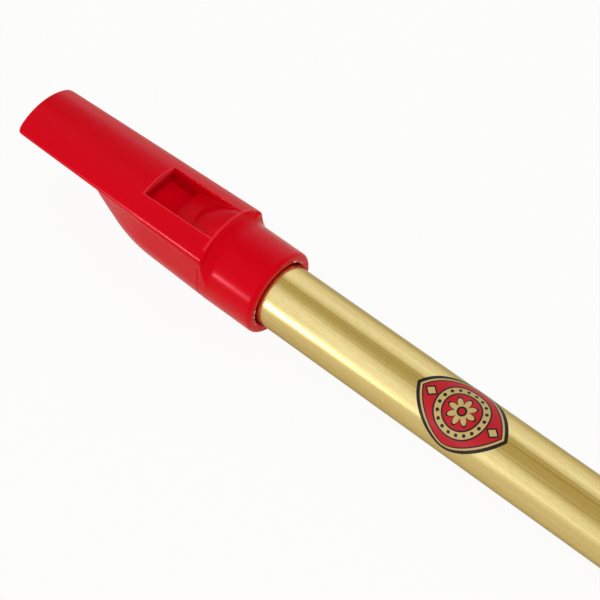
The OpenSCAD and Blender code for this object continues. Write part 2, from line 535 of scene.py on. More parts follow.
@dataclass(frozen=True)
class PrintedTransfer(Finish):
    """Printed transfer: black edge, gold line, red field and a plain rosette."""

    name: str = "printed_transfer"
    span: float = 20.0
    soft: float = 0.05
    rim_black: float = 0.50
    rim_gold: float = 0.80
    rim_line: float = 1.0
    petals: int = 8
    petal_r: float = 1.15
    petal_gold: float = -0.22
    petal_line: float = 0.06
    eye_in: float = 0.45
    eye_out: float = 0.75
    lozenge_at: float = 5.3
    lozenge_squash: float = 0.8
    lozenge_gold: float = 0.62
    lozenge_line: float = 0.92
    ring_in: Pair = (2.7, 2.95)
    ring_out: Pair = (3.95, 4.2)
    studs: int = 18
    stud_ring: float = 3.45
    stud_r: float = 0.27
    faded: Colour = (0.40, 0.006, 0.012, 1.0)
    fade_share: float = 0.25
    wear: Grain = Grain(scale=2.2, detail=3.0)
    roughness: float = 0.26
    wear_rough: float = 0.12
    specular: float = 0.22
    relief_depth: float = 0.004

    def make(self) -> bpy.types.Material:
        """Makes the material.

        Returns:
            The material.
        """
        material, graph = self.start()
        chart = graph.node("ShaderNodeUVMap", {"uv_map": "print"}).outputs["UV"]
        parts = graph.node("ShaderNodeSeparateXYZ", None, {"Vector": chart})
        along, around = ((Signal(graph, parts.outputs[axis]) - 0.5) * self.span for axis in "XY")
        rim = graph.signal("ShaderNodeAttribute", "Fac", {"attribute_name": "rim_mm"})
        reach = (along * along + around * around).math("SQRT")
        turn = around.math("ARCTAN2", along)
        wave = abs((turn * (self.petals / 2)).math("COSINE"))
        petal = reach - (self.petal_r + self.petal_r * wave)
        lozenge = abs(abs(along) - self.lozenge_at) * self.lozenge_squash + abs(around)
        step = math.tau / self.studs
        aside = (turn.math("FLOORED_MODULO", step) - step / 2) * self.stud_ring
        outward = reach - self.stud_ring
        stud = (aside * aside + outward * outward).math("SQRT")
        gold = self._any(
            self._band(rim, self.rim_black, self.rim_gold),
            petal.below(self.petal_gold, self.soft) * reach.above(self.eye_out, self.soft),
            lozenge.below(self.lozenge_gold, self.soft),
            self._band(reach, self.ring_in[1], self.ring_out[0]),
        )
        black = self._any(
            rim.below(self.rim_black, self.soft),
            self._band(rim, self.rim_gold, self.rim_line),
            self._band(petal, self.petal_gold, self.petal_line),
            self._band(reach, self.eye_in, self.eye_out),
            self._band(lozenge, self.lozenge_gold, self.lozenge_line),
            self._band(reach, *self.ring_in),
            self._band(reach, *self.ring_out),
            stud.below(self.stud_r, self.soft),
        )
        wear = graph.noise(self.wear)
        colour = graph.mix(wear * self.fade_share, PrintInk.RED.value, self.faded)
        colour = graph.mix(gold, colour, PrintInk.GOLD.value)
        colour = graph.mix(black, colour, PrintInk.BLACK.value)
        self.close(graph, {
            "Base Color": colour,
            "Roughness": self.roughness + self.wear_rough * wear,
            "Specular IOR Level": self.specular,
            "Normal": graph.bump(wear, self.relief_depth),
        })
        return material

    def _band(self, value: Signal, low: float, high: float) -> Signal:
        """Mask between two values."""
        return value.above(low, self.soft) * value.below(high, self.soft)

    @staticmethod
    def _any(*masks: Signal) -> Signal:
        """Mask that covers what any of several masks covers.

        Args:
            masks: The masks.

        Returns:
            The joint mask.
        """
        total = masks[0]
        for mask in masks[1:]:
            total = total.math("MAXIMUM", mask)
        return total


class Bench:
    """Mesh work that several pieces share."""

    @staticmethod
    def link(bm: bmesh.types.BMesh, name: str) -> bpy.types.Object:
        """Turns a bmesh into a scene object, with doubles merged and faces turned outwards.

        Args:
            bm: The shape, in millimetres. It is freed.
            name: Name of the object.

        Returns:
            The new object.
        """
        bmesh.ops.remove_doubles(bm, verts=bm.verts, dist=MERGE)
        bmesh.ops.recalc_face_normals(bm, faces=bm.faces)
        mesh = bpy.data.meshes.new(name)
        bm.to_mesh(mesh)
        bm.free()
        made = bpy.data.objects.new(name, mesh)
        bpy.context.scene.collection.objects.link(made)
        return made

    @staticmethod
    def apply(obj: bpy.types.Object) -> None:
        """Makes an object's modifiers part of its mesh.

        Args:
            obj: The object.
        """
        graph = bpy.context.evaluated_depsgraph_get()
        mesh = bpy.data.meshes.new_from_object(obj.evaluated_get(graph))
        old = obj.data
        obj.modifiers.clear()
        obj.data = mesh
        bpy.data.meshes.remove(old)

    @classmethod
    def cut(cls, obj: bpy.types.Object, cutters: Sequence[bpy.types.Object]) -> None:
        """Takes cutters out of an object, then removes them.

        Args:
            obj: The object that is cut.
            cutters: The shapes that are taken away.
        """
        for cutter in cutters:
            made = obj.modifiers.new(cutter.name, "BOOLEAN")
            made.operation = "DIFFERENCE"
            made.solver = "EXACT"
            made.object = cutter
        cls.apply(obj)
        for cutter in cutters:
            mesh = cutter.data
            bpy.data.objects.remove(cutter)
            bpy.data.meshes.remove(mesh)

    @staticmethod
    def lathe(points: Sequence[tuple[float, float]], steps: int) -> bmesh.types.BMesh:
        """Spins an outline about the X axis.

        Args:
            points: The outline as X and radius, in order; both ends may lie on the axis.
            steps: Parts of the full turn.

        Returns:
            The spun shape.
        """
        bm = bmesh.new()
        verts = [bm.verts.new((x, 0.0, r)) for x, r in points]
        edges = [bm.edges.new(pair) for pair in zip(verts, verts[1:])]
        bmesh.ops.spin(
            bm, geom=[*verts, *edges], cent=(0, 0, 0), axis=(1, 0, 0), angle=math.tau, steps=steps,
            use_merge=True, use_duplicate=False,
        )
        bmesh.ops.remove_doubles(bm, verts=bm.verts, dist=MERGE)
        return bm

    @staticmethod
    def finish(
        obj: bpy.types.Object, material: bpy.types.Material, body: str, slot: str
    ) -> bpy.types.Object:
        """Brings a piece from millimetres to metres, smooths its shading and dresses it.

        Args:
            obj: The piece.
            material: Its material.
            body: The body it rides on.
            slot: Not used.

        Returns:
            The piece.
        """
        obj.data.transform(Matrix.Scale(MM, 4))
        obj.data.shade_smooth()
        obj.data.materials.clear()
        obj.data.materials.append(material)
        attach(obj, body)
        return obj


@dataclass
class MouldedHead:
    """Whistle head: beak, hood, belly and collar lofted as one skin, then cut open.

    Sizes are in millimetres. A section is told by distances, negative inside, and s is the distance from the
    collar's mouth towards the beak.
    """

    length: float = 48.1
    collar_r: float = 6.9
    collar_end: float = 9.55
    rim_r: float = 0.65
    mouth_out: float = 0.5
    cove_r: float = 2.2
    cove_edge: float = 0.08
    cove_fill: float = 0.12
    ear_far: float = 0.8
    ear_near: float = 0.15
    ear_wide: float = 3.5
    ear_span: float = 2.5
    ear_low: float = 7.1
    ear_rise: float = 1.2
    crease: float = 0.28
    crease_w: float = 0.1
    crease_top: float = 4.6
    crease_fade: float = 0.6
    flash: float = 0.05
    flash_w: float = 0.1
    flash_wide: float = 3.0
    flash_level: float = 19.0
    flash_drop: float = 0.055
    flash_from: float = 17.0
    flash_rise: float = 3.0
    flash_to: float = 33.0
    flash_fall: float = 2.0
    edge: float = 0.38
    shoulder: float = 0.62
    hood_top: float = 8.45
    hood_arc_r: float = 8.95
    hood_slope: float = math.radians(2.5)
    hood_half: float = 6.65
    tip_half: float = 6.0
    tip_corner_r: float = 1.0
    tip_round: float = 0.3
    beak_under: float = 2.4
    beak_under_r: float = 9.7
    belly_r: float = 6.9
    belly_taper: float = math.radians(1.5)
    belly_draft: float = math.radians(3.6)
    belly_top: float = 5.0
    belly_top_round: float = 0.3
    belly_fill: float = 0.3
    nose_angle: float = math.radians(18.3)
    nose_start: float = 24.4
    nose_blend: float = 4.0
    chin_angle: float = math.radians(52.0)
    chin_top: float = 38.0
    chin_high: float = 3.05
    chin_round: float = 1.6
    window_half: float = 3.25
    window_beak: float = 23.35
    window_foot: float = 9.3
    window_low: float = -0.5
    window_high: float = 14.0
    lip_from_mouth: float = 18.7
    lip_height: float = 5.0
    ramp_angle: float = math.radians(17.0)
    round_ramp_from: float = 15.4
    ramp_rise: float = 0.70
    ramp_before: float = 0.9
    ramp_past: float = 0.3
    ramp_points: int = 25
    ramp_steps: int = 160
    windway_h: float = 1.1
    windway_floor: float = 4.75
    windway_lap: float = 0.3
    shelf_t: float = 1.3
    shelf_back: float = 0.65
    socket_r: float = 5.32
    socket_depth: float = 12.5
    mouth_chamfer: float = 0.25
    mouth_clear: float = 2.0
    bore_r: float = 4.66
    bore_steps: int = 128
    cavity_wall: float = 1.6
    cavity_end: float = 31.5
    cavity_lap: float = 0.5
    cavity_points: int = 12
    cavity_steps: int = 96
    hub: float = 4.0
    spokes: int = 288
    far: float = 20.0
    halvings: int = 40
    tip_rings: int = 7
    body_rings: int = 100
    crease_rings: tuple[float, ...] = (0.19, 0.14, 0.10, 0.06, 0.03, 0.0)
    crease_clear: float = 0.25
    cove_rings: int = 36
    collar_rings: int = 18
    rim_rings: int = 9
    least_r: float = 0.05
    voxel: float = 0.1
    softening: float = 0.5
    smoothing: int = 3
    triangles: int = 190000
    finish: RedPlastic = field(default_factory=RedPlastic)

    def belly_radius(self, s: float) -> float:
        """Radius of the belly.

        Args:
            s: Distance from the collar's mouth.

        Returns:
            The radius, with the rounding between taper and nose.
        """
        slow, fast = math.tan(self.belly_taper), math.tan(self.nose_angle)
        meet = self.belly_r - (self.nose_start - self.collar_end) * slow
        along = s - self.nose_start
        if along < -self.nose_blend:
            return meet - along * slow
        if along > self.nose_blend:
            return max(meet - along * fast, self.least_r)
        share = (along + self.nose_blend) / (2 * self.nose_blend)
        return meet + self.nose_blend * slow - (along + self.nose_blend) * (slow + (fast - slow) * share / 2)

    def half_width(self, s: float) -> float:
        """Half-width of hood and beak, with the tip's rounded corners.

        Args:
            s: Distance from the collar's mouth.

        Returns:
            The half-width.
        """
        share = (s - self.collar_end) / (self.length - self.collar_end)
        width = self.hood_half + (self.tip_half - self.hood_half) * share
        into = max(s - (self.length - self.tip_corner_r), 0.0)
        return width - self.tip_corner_r + math.sqrt(max(self.tip_corner_r ** 2 - into ** 2, 0.0))

    def hood(self, s: float, y: np.ndarray, z: np.ndarray) -> np.ndarray:
        """Distance to the section of hood and beak.

        Args:
            s: Distance from the collar's mouth.
            y: Places across.
            z: Heights above the tube's axis.

        Returns:
            Distances, negative inside.
        """
        top_z = self.hood_top - (s - self.collar_end) * math.tan(self.hood_slope)
        top = np.hypot(y, z - top_z + self.hood_arc_r) - self.hood_arc_r
        side = np.abs(y) - self.half_width(s)
        under = np.hypot(y, z - self.beak_under - self.beak_under_r) - self.beak_under_r
        return smooth_max(smooth_max(top, side, self.shoulder), under, self.edge)

    def belly(self, s: float, y: np.ndarray, z: np.ndarray) -> np.ndarray:
        """Distance to the section of the belly: round below, with straight drafted sides and a chin.

        Args:
            s: Distance from the collar's mouth.
            y: Places across.
            z: Heights above the tube's axis.

        Returns:
            Distances, negative inside.
        """
        r = self.belly_radius(s)
        wide = np.abs(y)
        line = wide * math.cos(self.belly_draft) + z * math.sin(self.belly_draft) - r
        round_part = np.hypot(y, z) - r
        shape = np.where(z > wide * math.tan(self.belly_draft), line, round_part)
        chin_z = self.chin_high - (self.chin_top - s) * math.tan(self.chin_angle)
        chin = (chin_z - z) * math.cos(self.chin_angle)
        shape = smooth_max(shape, chin, self.chin_round)
        return smooth_max(shape, z - self.belly_top, self.belly_top_round)

    def body(self, s: float, y: np.ndarray, z: np.ndarray) -> np.ndarray:
        """Distance to the section of hood and belly together, with the mould's fine flash line.

        Args:
            s: Distance from the collar's mouth.
            y: Places across.
            z: Heights above the tube's axis.

        Returns:
            Distances, negative inside.
        """
        joined = smooth_min(self.hood(s, y, z), self.belly(s, y, z), self.belly_fill)
        drop = math.sqrt(max(self.beak_under_r ** 2 - self.half_width(s) ** 2, 0.0))
        level = self.beak_under + self.beak_under_r - drop - self.flash_drop * (s - self.flash_level)
        rise = min(max((s - self.flash_from) / self.flash_rise, 0.0), 1.0)
        fall = min(max((self.flash_to - s) / self.flash_fall, 0.0), 1.0)
        line = np.exp(-(((z - level) / self.flash_w) ** 2)) * (np.abs(y) > self.flash_wide)
        return joined - self.flash * rise * fall * line

    def groove(self, s: float, z: np.ndarray) -> np.ndarray:
        """Depth of the fine groove between belly and collar, which ends below the hood.

        Args:
            s: Distance from the collar's mouth.
            z: Heights above the tube's axis.

        Returns:
            The depths.
        """
        depth = self.crease * math.exp(-(((s - self.collar_end) / self.crease_w) ** 2))
        return depth * np.clip((self.crease_top - z) / self.crease_fade, 0.0, 1.0)

    def grooved(self, s: float, y: np.ndarray, z: np.ndarray) -> np.ndarray:
        """Distance to the section of hood and belly where the groove cuts in."""
        return self.body(s, y, z) + self.groove(s, z)

    def collar(self, s: float, y: np.ndarray, z: np.ndarray) -> np.ndarray:
        """Distance to the section of the collar and the cove that sweeps up to the hood's end.

        Args:
            s: Distance from the collar's mouth.
            y: Places across.
            z: Heights above the tube's axis.

        Returns:
            Distances, negative inside.
        """
        r = np.hypot(y, z)
        corner = np.clip((np.abs(y) - self.ear_wide) / self.ear_span, 0.0, 1.0)
        corner = corner * np.clip((r - self.ear_low) / self.ear_rise, 0.0, 1.0)
        ear = np.where(y > 0, self.ear_far, self.ear_near)
        into = np.clip(s + ear * corner - (self.collar_end - self.cove_r), 0.0, self.cove_r)
        cove_radius = self.collar_r + self.cove_r - np.sqrt(self.cove_r ** 2 - into ** 2)
        cove = smooth_max(r - cove_radius, self.body(self.collar_end, y, z), self.cove_edge)
        return smooth_min(r - self.collar_r, cove, self.cove_fill) + self.groove(s, z)

    def ring(self, section: Field, s: float, inset: float, hub: float) -> np.ndarray:
        """Points of one ring of the skin.

        Args:
            section: The section's distance.
            s: Distance from the collar's mouth.
            inset: Depth by which the ring is drawn in.
            hub: Height of the point that the ring is measured from.

        Returns:
            The points in world millimetres, one for each spoke and the first again at the end.
        """
        turn = np.linspace(0.0, math.tau, self.spokes + 1)
        dy, dz = np.sin(turn), np.cos(turn)
        low, high = np.zeros_like(turn), np.full_like(turn, self.far)
        for _ in range(self.halvings):
            mid = (low + high) / 2
            outside = section(s, mid * dy, hub + mid * dz) + inset > 0
            high = np.where(outside, mid, high)
            low = np.where(outside, low, mid)
        reach = (low + high) / 2
        return np.stack([np.full_like(turn, MOUTH_X - s), reach * dy, hub + reach * dz], axis=1)

    def rings(self) -> list[np.ndarray]:
        """All rings of the skin, from the beak's tip to the collar's mouth.

        Returns:
            The points of each ring.
        """
        made = []
        for a in np.linspace(math.pi / 2, 0.0, self.tip_rings):
            s = self.length - self.tip_round * (1 - math.sin(a))
            made.append(self.ring(self.body, s, self.tip_round * (1 - math.cos(a)), self.hub))
        start, stop = self.length - self.tip_round, self.collar_end + self.crease_clear
        for s in np.linspace(start, stop, self.body_rings)[1:]:
            made.append(self.ring(self.body, float(s), 0.0, self.hub))
        for s in self.crease_rings:
            made.append(self.ring(self.grooved, self.collar_end + s, 0.0, self.hub))
        for a in np.linspace(math.pi / 2, 0.0, self.cove_rings):
            s = self.collar_end - self.cove_r * (1 - math.sin(a))
            made.append(self.ring(self.collar, s, 0.0, self.hub))
        rim = self.rim_r - self.mouth_out
        cove_end = self.collar_end - self.cove_r
        for s in np.linspace(cove_end, rim, self.collar_rings)[1:]:
            hub = self.hub * (s - rim) / (cove_end - rim)
            made.append(self.ring(self.collar, float(s), 0.0, float(hub)))
        for a in np.linspace(0.0, math.pi / 2, self.rim_rings)[1:]:
            s = rim - self.rim_r * math.sin(a)
            made.append(self.ring(self.collar, s, self.rim_r * (1 - math.cos(a)), 0.0))
        return made

    def skin(self) -> bpy.types.Object:
        """The closed outer skin: a grid rolled up along the rings, with both ends filled.

        Returns:
            The skin.
        """
        rings = np.stack(self.rings())
        count = len(rings)
        bm = bmesh.new()
        bmesh.ops.create_grid(bm, x_segments=count - 1, y_segments=self.spokes, size=1.0)
        for vert in bm.verts:
            i = round((vert.co.x + 1) / 2 * (count - 1))
            j = round((vert.co.y + 1) / 2 * self.spokes)
            vert.co = rings[i, j]
        bmesh.ops.remove_doubles(bm, verts=bm.verts, dist=FINE_MERGE)
        ends = [edge for edge in bm.edges if edge.is_boundary]
        bmesh.ops.edgenet_fill(bm, edges=ends)
        return Bench.link(bm, "whistle_head")

    def bore_cutter(self) -> bpy.types.Object:
        """Socket with its chamfered mouth, and the bore up to the window.

        Returns:
            The cutter.
        """
        flare, clear = self.socket_r + self.mouth_chamfer, self.mouth_clear
        outline = [
            (clear, 0.0), (clear, flare + clear - self.mouth_out), (self.mouth_out, flare),
            (self.mouth_out - self.mouth_chamfer, self.socket_r),
            (-self.socket_depth, self.socket_r), (-self.socket_depth, self.bore_r),
            (-self.window_beak, self.bore_r), (-self.window_beak, 0.0),
        ]
        bm = Bench.lathe([(MOUTH_X + x, r) for x, r in outline], self.bore_steps)
        return Bench.link(bm, "cut_bore")

    def cavity_cutter(self) -> bpy.types.Object:
        """Blind cavity under the windway's shelf.

        Returns:
            The cutter.
        """
        outline = []
        for s in np.linspace(self.window_beak - self.cavity_lap, self.cavity_end, self.cavity_points):
            outline.append((float(s), min(self.bore_r, self.belly_radius(float(s)) - self.cavity_wall)))
        outline = [(outline[0][0], 0.0), *outline, (outline[-1][0], 0.0)]
        bm = Bench.lathe([(MOUTH_X - s, r) for s, r in outline], self.cavity_steps)
        shelf = Vector((MOUTH_X - self.window_beak, 0, self.windway_floor - self.shelf_t))
        cut = bmesh.ops.bisect_plane(
            bm, geom=[*bm.verts, *bm.edges, *bm.faces], dist=FINE_MERGE, plane_co=shelf,
            plane_no=(-math.sin(self.hood_slope), 0, math.cos(self.hood_slope)), clear_outer=True,
        )
        edges = [item for item in cut["geom_cut"] if isinstance(item, bmesh.types.BMEdge)]
        bmesh.ops.edgenet_fill(bm, edges=edges)
        return Bench.link(bm, "cut_cavity")

    def windway_cutter(self) -> bpy.types.Object:
        """Straight flat windway, parallel to the hood's top.

        Returns:
            The cutter.
        """
        bm = bmesh.new()
        tilt = Matrix.Rotation(-self.hood_slope, 3, "Y")
        middle = (self.windway_lap - self.length / 2, 0, self.windway_h / 2)
        bmesh.ops.create_cube(bm, size=1.0)
        bmesh.ops.scale(bm, vec=(self.length, 2 * self.window_half, self.windway_h), verts=bm.verts)
        bmesh.ops.translate(bm, vec=middle, verts=bm.verts)
        bmesh.ops.rotate(bm, cent=(0, 0, 0), matrix=tilt, verts=bm.verts)
        bmesh.ops.translate(bm, vec=(MOUTH_X - self.window_beak, 0, self.windway_floor), verts=bm.verts)
        return Bench.link(bm, "cut_windway")

    def window_cutter(self) -> bpy.types.Object:
        """Window above the lip, its flat ramp and its rounded ramp.

        Returns:
            The cutter.
        """
        low, high = self.window_low, self.window_high
        back = self.window_beak + self.shelf_back
        in_slot = self.windway_floor + self.windway_h / 2
        ramp_top = self.lip_height + (self.lip_from_mouth - self.window_foot) * math.tan(self.ramp_angle)
        outline = [
            (back, low), (self.lip_from_mouth, low), (self.lip_from_mouth, self.lip_height),
            (self.window_foot, ramp_top), (self.window_foot, high), (self.window_beak, high),
            (self.window_beak, in_slot), (back, in_slot),
        ]
        bm = bmesh.new()
        verts = [bm.verts.new((MOUTH_X - s, -self.window_half, z)) for s, z in outline]
        side = bm.faces.new(verts)
        grown = bmesh.ops.extrude_face_region(bm, geom=[side])
        moved = [item for item in grown["geom"] if isinstance(item, bmesh.types.BMVert)]
        bmesh.ops.translate(bm, vec=(0, 2 * self.window_half, 0), verts=moved)
        window = Bench.link(bm, "cut_window")
        Bench.cut(window, [self.ramp_core()])
        return window

    def ramp_core(self) -> bpy.types.Object:
        """Bowed cone that stays standing under the window as the rounded ramp.

        Returns:
            The cone.
        """
        start = self.round_ramp_from
        low_r = self.lip_height + (self.lip_from_mouth - start) * math.tan(self.ramp_angle)
        reach = start - self.collar_end
        bow = (self.ramp_rise * reach - self.hood_top + low_r) / reach ** 2
        outline = [(start + self.ramp_before, 0.0)]
        for t in np.linspace(-self.ramp_before, reach + self.ramp_past, self.ramp_points):
            t = float(t)
            outline.append((start - t, low_r + self.ramp_rise * t - bow * t ** 2))
        outline.append((outline[-1][0], 0.0))
        return Bench.link(Bench.lathe([(MOUTH_X - s, r) for s, r in outline], self.ramp_steps), "cut_ramp")

    def build(self) -> bpy.types.Object:
        """Makes the head and dresses it.

        Returns:
            The finished piece.
        """
        head = self.skin()
        Bench.cut(head, [
            self.bore_cutter(), self.cavity_cutter(), self.windway_cutter(), self.window_cutter(),
        ])
        remesh = head.modifiers.new("even", "REMESH")
        remesh.mode = "VOXEL"
        remesh.voxel_size = self.voxel
        soften = head.modifiers.new("soften", "SMOOTH")
        soften.factor = self.softening
        soften.iterations = self.smoothing
        Bench.apply(head)
        faces = sum(len(polygon.vertices) - 2 for polygon in head.data.polygons)
        if faces > self.triangles:
            thin = head.modifiers.new("thin", "DECIMATE")
            thin.ratio = self.triangles / faces
            Bench.apply(head)
        Bench.finish(head, self.finish.make(), "head", "red_plastic")
        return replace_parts(head, "head")


@dataclass
class BrassTube:
    """Drawn brass tube, open at both ends, with six finger holes."""

    radius: float = 5.15
    wall: float = 0.37
    length: float = 191.8
    rim: float = 0.09
    rim_step: int = 30
    steps: int = 192
    holes: tuple[tuple[float, float], ...] = (
        (32.0, 4.5), (49.0, 6.0), (61.5, 4.8), (82.0, 5.1), (97.5, 5.7), (113.0, 4.8),
    )
    hole_lip: float = 0.07
    hole_flare: tuple[Pair, ...] = ((-1.0, 0.0), (-0.4, 0.18), (0.0, 0.75))
    hole_over: float = 0.02
    hole_reach: float = 2.0
    hole_margin: float = 0.6
    hole_steps: int = 64
    sharp: float = math.radians(50)
    finish: LacqueredBrass = field(default_factory=LacqueredBrass)

    def wall_outline(self) -> list[tuple[float, float]]:
        """Closed outline of the wall, with rounded rims.

        Returns:
            The outline as X and radius.
        """
        inner, outer, r = self.radius - self.wall, self.radius, self.rim
        corners = [
            (-r, inner + r, -90), (-r, outer - r, 0), (r - self.length, outer - r, 90),
            (r - self.length, inner + r, 180),
        ]
        points = []
        for x, y, start in corners:
            for step in range(0, 91, self.rim_step):
                a = math.radians(start + step)
                points.append((x + r * math.cos(a), y + r * math.sin(a)))
        return [*points, points[0]]

    def hole_cutter(self, place: float, width: float) -> bmesh.types.BMesh:
        """Cutter for one finger hole, flared a little where it meets the tube's outside.

        Args:
            place: Distance from the foot.
            width: Diameter.

        Returns:
            The cutter's shape.
        """
        bm = bmesh.new()
        lip, reach = self.hole_lip, self.hole_reach
        flare = [(rise * lip, grow * lip) for rise, grow in self.hole_flare]
        levels = [(-reach, 0.0), *flare, (self.hole_over, lip), (reach, lip)]
        ring = bmesh.ops.create_circle(
            bm, cap_ends=True, segments=self.hole_steps, radius=width / 2
        )["verts"]
        face = bm.faces[:][0]
        rings = [ring]
        for _ in levels[1:]:
            last = face
            grown = bmesh.ops.extrude_face_region(bm, geom=[face])["geom"]
            face = next(item for item in grown if isinstance(item, bmesh.types.BMFace))
            if len(rings) > 1:
                bmesh.ops.delete(bm, geom=[last], context="FACES_ONLY")
            rings.append(list(face.verts))
        for verts, (rise, flare) in zip(rings, levels):
            for vert in verts:
                grow = 1 + 2 * flare / width
                vert.co.x *= grow
                vert.co.y *= grow
                vert.co.z = math.sqrt(self.radius ** 2 - vert.co.y ** 2) + rise
        bmesh.ops.translate(bm, vec=(-place, 0, 0), verts=bm.verts)
        return bm

    def build(self) -> bpy.types.Object:
        """Makes the tube and dresses it.

        Returns:
            The finished piece.
        """
        bm = Bench.lathe(self.wall_outline(), self.steps)
        for place, width in self.holes:
            for side in (-1, 1):
                bmesh.ops.bisect_plane(
                    bm, geom=[*bm.verts, *bm.edges, *bm.faces], dist=FINE_MERGE,
                    plane_co=(-place + side * (width / 2 + self.hole_margin), 0, 0), plane_no=(1, 0, 0),
                )
        tube = Bench.link(bm, "brass_tube")
        cutters = [
            Bench.link(self.hole_cutter(place, width), f"cut_hole_{i}")
            for i, (place, width) in enumerate(self.holes)
        ]
        Bench.cut(tube, cutters)
        Bench.finish(tube, self.finish.make(), "tube", "brass_tube")
        tube.data.set_sharp_from_angle(angle=self.sharp)
        even = tube.modifiers.new("even_shading", "WEIGHTED_NORMAL")
        even.keep_sharp = True
        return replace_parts(tube, "tube")


@dataclass
class TubeTransfer:
    """Thin printed transfer, a pointed oval wrapped around the tube."""

    length: float = 15.5
    wrap: float = math.radians(144.0)
    from_mouth: float = 34.75
    turn: float = math.radians(14.0)
    tube_r: float = 5.15
    thickness: float = 0.04
    thickness_share: float = 0.95
    columns: int = 160
    rows: int = 72
    edge_points: int = 600
    sharp: float = math.radians(40)
    finish: PrintedTransfer = field(default_factory=PrintedTransfer)

    def half_angle(self, x: np.ndarray) -> np.ndarray:
        """Half of the angle that the transfer covers.

        Args:
            x: Places along the tube from the transfer's middle.

        Returns:
            The half-angles.
        """
        outer = self.tube_r + self.thickness
        half = outer * math.sin(self.wrap / 2)
        oval_r = ((self.length / 2) ** 2 + half ** 2) / (2 * half)
        height = np.sqrt(np.maximum(oval_r ** 2 - x ** 2, 0.0)) - (oval_r - half)
        return np.arcsin(np.clip(height / outer, 0.0, 1.0))

    def build(self) -> bpy.types.Object:
        """Makes the transfer and dresses it.

        Returns:
            The finished piece.
        """
        outer = self.tube_r + self.thickness
        bm = bmesh.new()
        bmesh.ops.create_grid(bm, x_segments=self.columns, y_segments=self.rows, size=1.0)
        chart = bm.loops.layers.uv.new("print")
        rim = bm.verts.layers.float.new("rim_mm")
        edge_x = np.linspace(-self.length / 2, self.length / 2, self.edge_points)
        edge = np.stack([edge_x, self.half_angle(edge_x) * outer], axis=1)
        flat = {}
        for vert in bm.verts:
            x = math.sin(vert.co.x * math.pi / 2) * self.length / 2
            arc = vert.co.y * float(self.half_angle(np.array(x))) * outer
            vert[rim] = float(np.hypot(edge[:, 0] - x, edge[:, 1] - abs(arc)).min())
            flat[vert] = (x, arc)
            a = arc / outer - self.turn
            vert.co = (MOUTH_X + self.from_mouth + x, outer * math.sin(a), outer * math.cos(a))
        for face in bm.faces:
            for loop in face.loops:
                x, arc = flat[loop.vert]
                loop[chart].uv = (0.5 + x / self.finish.span, 0.5 + arc / self.finish.span)
        made = Bench.link(bm, "printed_transfer")
        wall = made.modifiers.new("thickness", "SOLIDIFY")
        wall.thickness = self.thickness * self.thickness_share
        wall.offset = -1.0
        Bench.apply(made)
        Bench.finish(made, self.finish.make(), "tube", "print")
        made.data.set_sharp_from_angle(angle=self.sharp)
        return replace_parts(made, "decal")


@dataclass
class AdhesiveBeads:
    """Specks of adhesive that were squeezed out at the collar's mouth."""

    ring_r: float = 5.70
    size: float = 0.10
    out: float = 0.47
    scatter: float = 0.12
    least: float = 0.55
    spread: float = 0.75
    flat: float = 0.9
    stretch: float = 0.8
    roundness: int = 2
    clusters: tuple[tuple[float, float, int], ...] = (
        (-95.0, 40.0, 8), (50.0, 34.0, 8), (170.0, 40.0, 4),
    )
    seed: int = 11
    finish: SealingFilm = SealingFilm(
        "adhesive_beads", (0.74, 0.62, 0.56, 1.0), (0.90, 0.85, 0.80, 1.0)
    )

    def build(self) -> bpy.types.Object:
        """Makes the beads and dresses them.

        Returns:
            The finished piece.
        """
        draw = np.random.default_rng(self.seed)
        bm = bmesh.new()
        for middle, width, count in self.clusters:
            for _ in range(count):
                a = math.radians(middle + width * (draw.random() - 0.5))
                r = self.ring_r + self.scatter * (draw.random() - 0.5)
                grow = self.size * (self.least + self.spread * draw.random())
                place = Matrix.Translation((MOUTH_X + self.out, r * math.sin(a), r * math.cos(a)))
                shape = Matrix.Diagonal((self.flat, 1.0 + self.stretch * draw.random(), 1.0, 1.0))
                bmesh.ops.create_icosphere(
                    bm, subdivisions=self.roundness, radius=grow,
                    matrix=place @ Matrix.Rotation(-a, 4, "X") @ shape,
                )
        beads = Bench.link(bm, "adhesive_beads")
        return Bench.finish(beads, self.finish.make(), "head", "film")


@dataclass
class FilmSleeve:
    """Sealing film between tube and socket: the solid itself, dressed."""

    node: str = "sealing_film"
    # Default colours: painted shade in the gap at the collar's mouth.
    finish: SealingFilm = SealingFilm()

    def build(self) -> bpy.types.Object:
        """Dresses the film's solid.

        Returns:
            The solid.
        """
        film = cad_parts[self.node]
        film.data.materials.clear()
        film.data.materials.append(self.finish.make())
        return film


class LampUse(Enum):
    """What a lamp lights."""

    ALL = "everything"
    GLOSS = "gloss alone"
    MATT = "matt light alone"


@dataclass(frozen=True)
class Lamp:
    """A soft rectangular lamp: its power in watts, and its size, place and aim in metres."""

    name: str
    power: float
    size: tuple[float, float]
    place: Point
    aim: Point = (-0.17, 0.0, 0.0)
    use: LampUse = LampUse.ALL

    def build(self) -> None:
        """Adds the lamp to the scene."""
        data = bpy.data.lights.new(self.name, "AREA")
        data.shape = "RECTANGLE"
        data.size, data.size_y = self.size
        data.energy = self.power
        made = bpy.data.objects.new(self.name, data)
        place = Vector(self.place)
        turn = (Vector(self.aim) - place).to_track_quat("-Z", "Y")
        made.matrix_world = Matrix.Translation(place) @ turn.to_matrix().to_4x4()
        made.visible_diffuse = self.use is not LampUse.GLOSS
        made.visible_glossy = self.use is not LampUse.MATT
        bpy.context.scene.collection.objects.link(made)


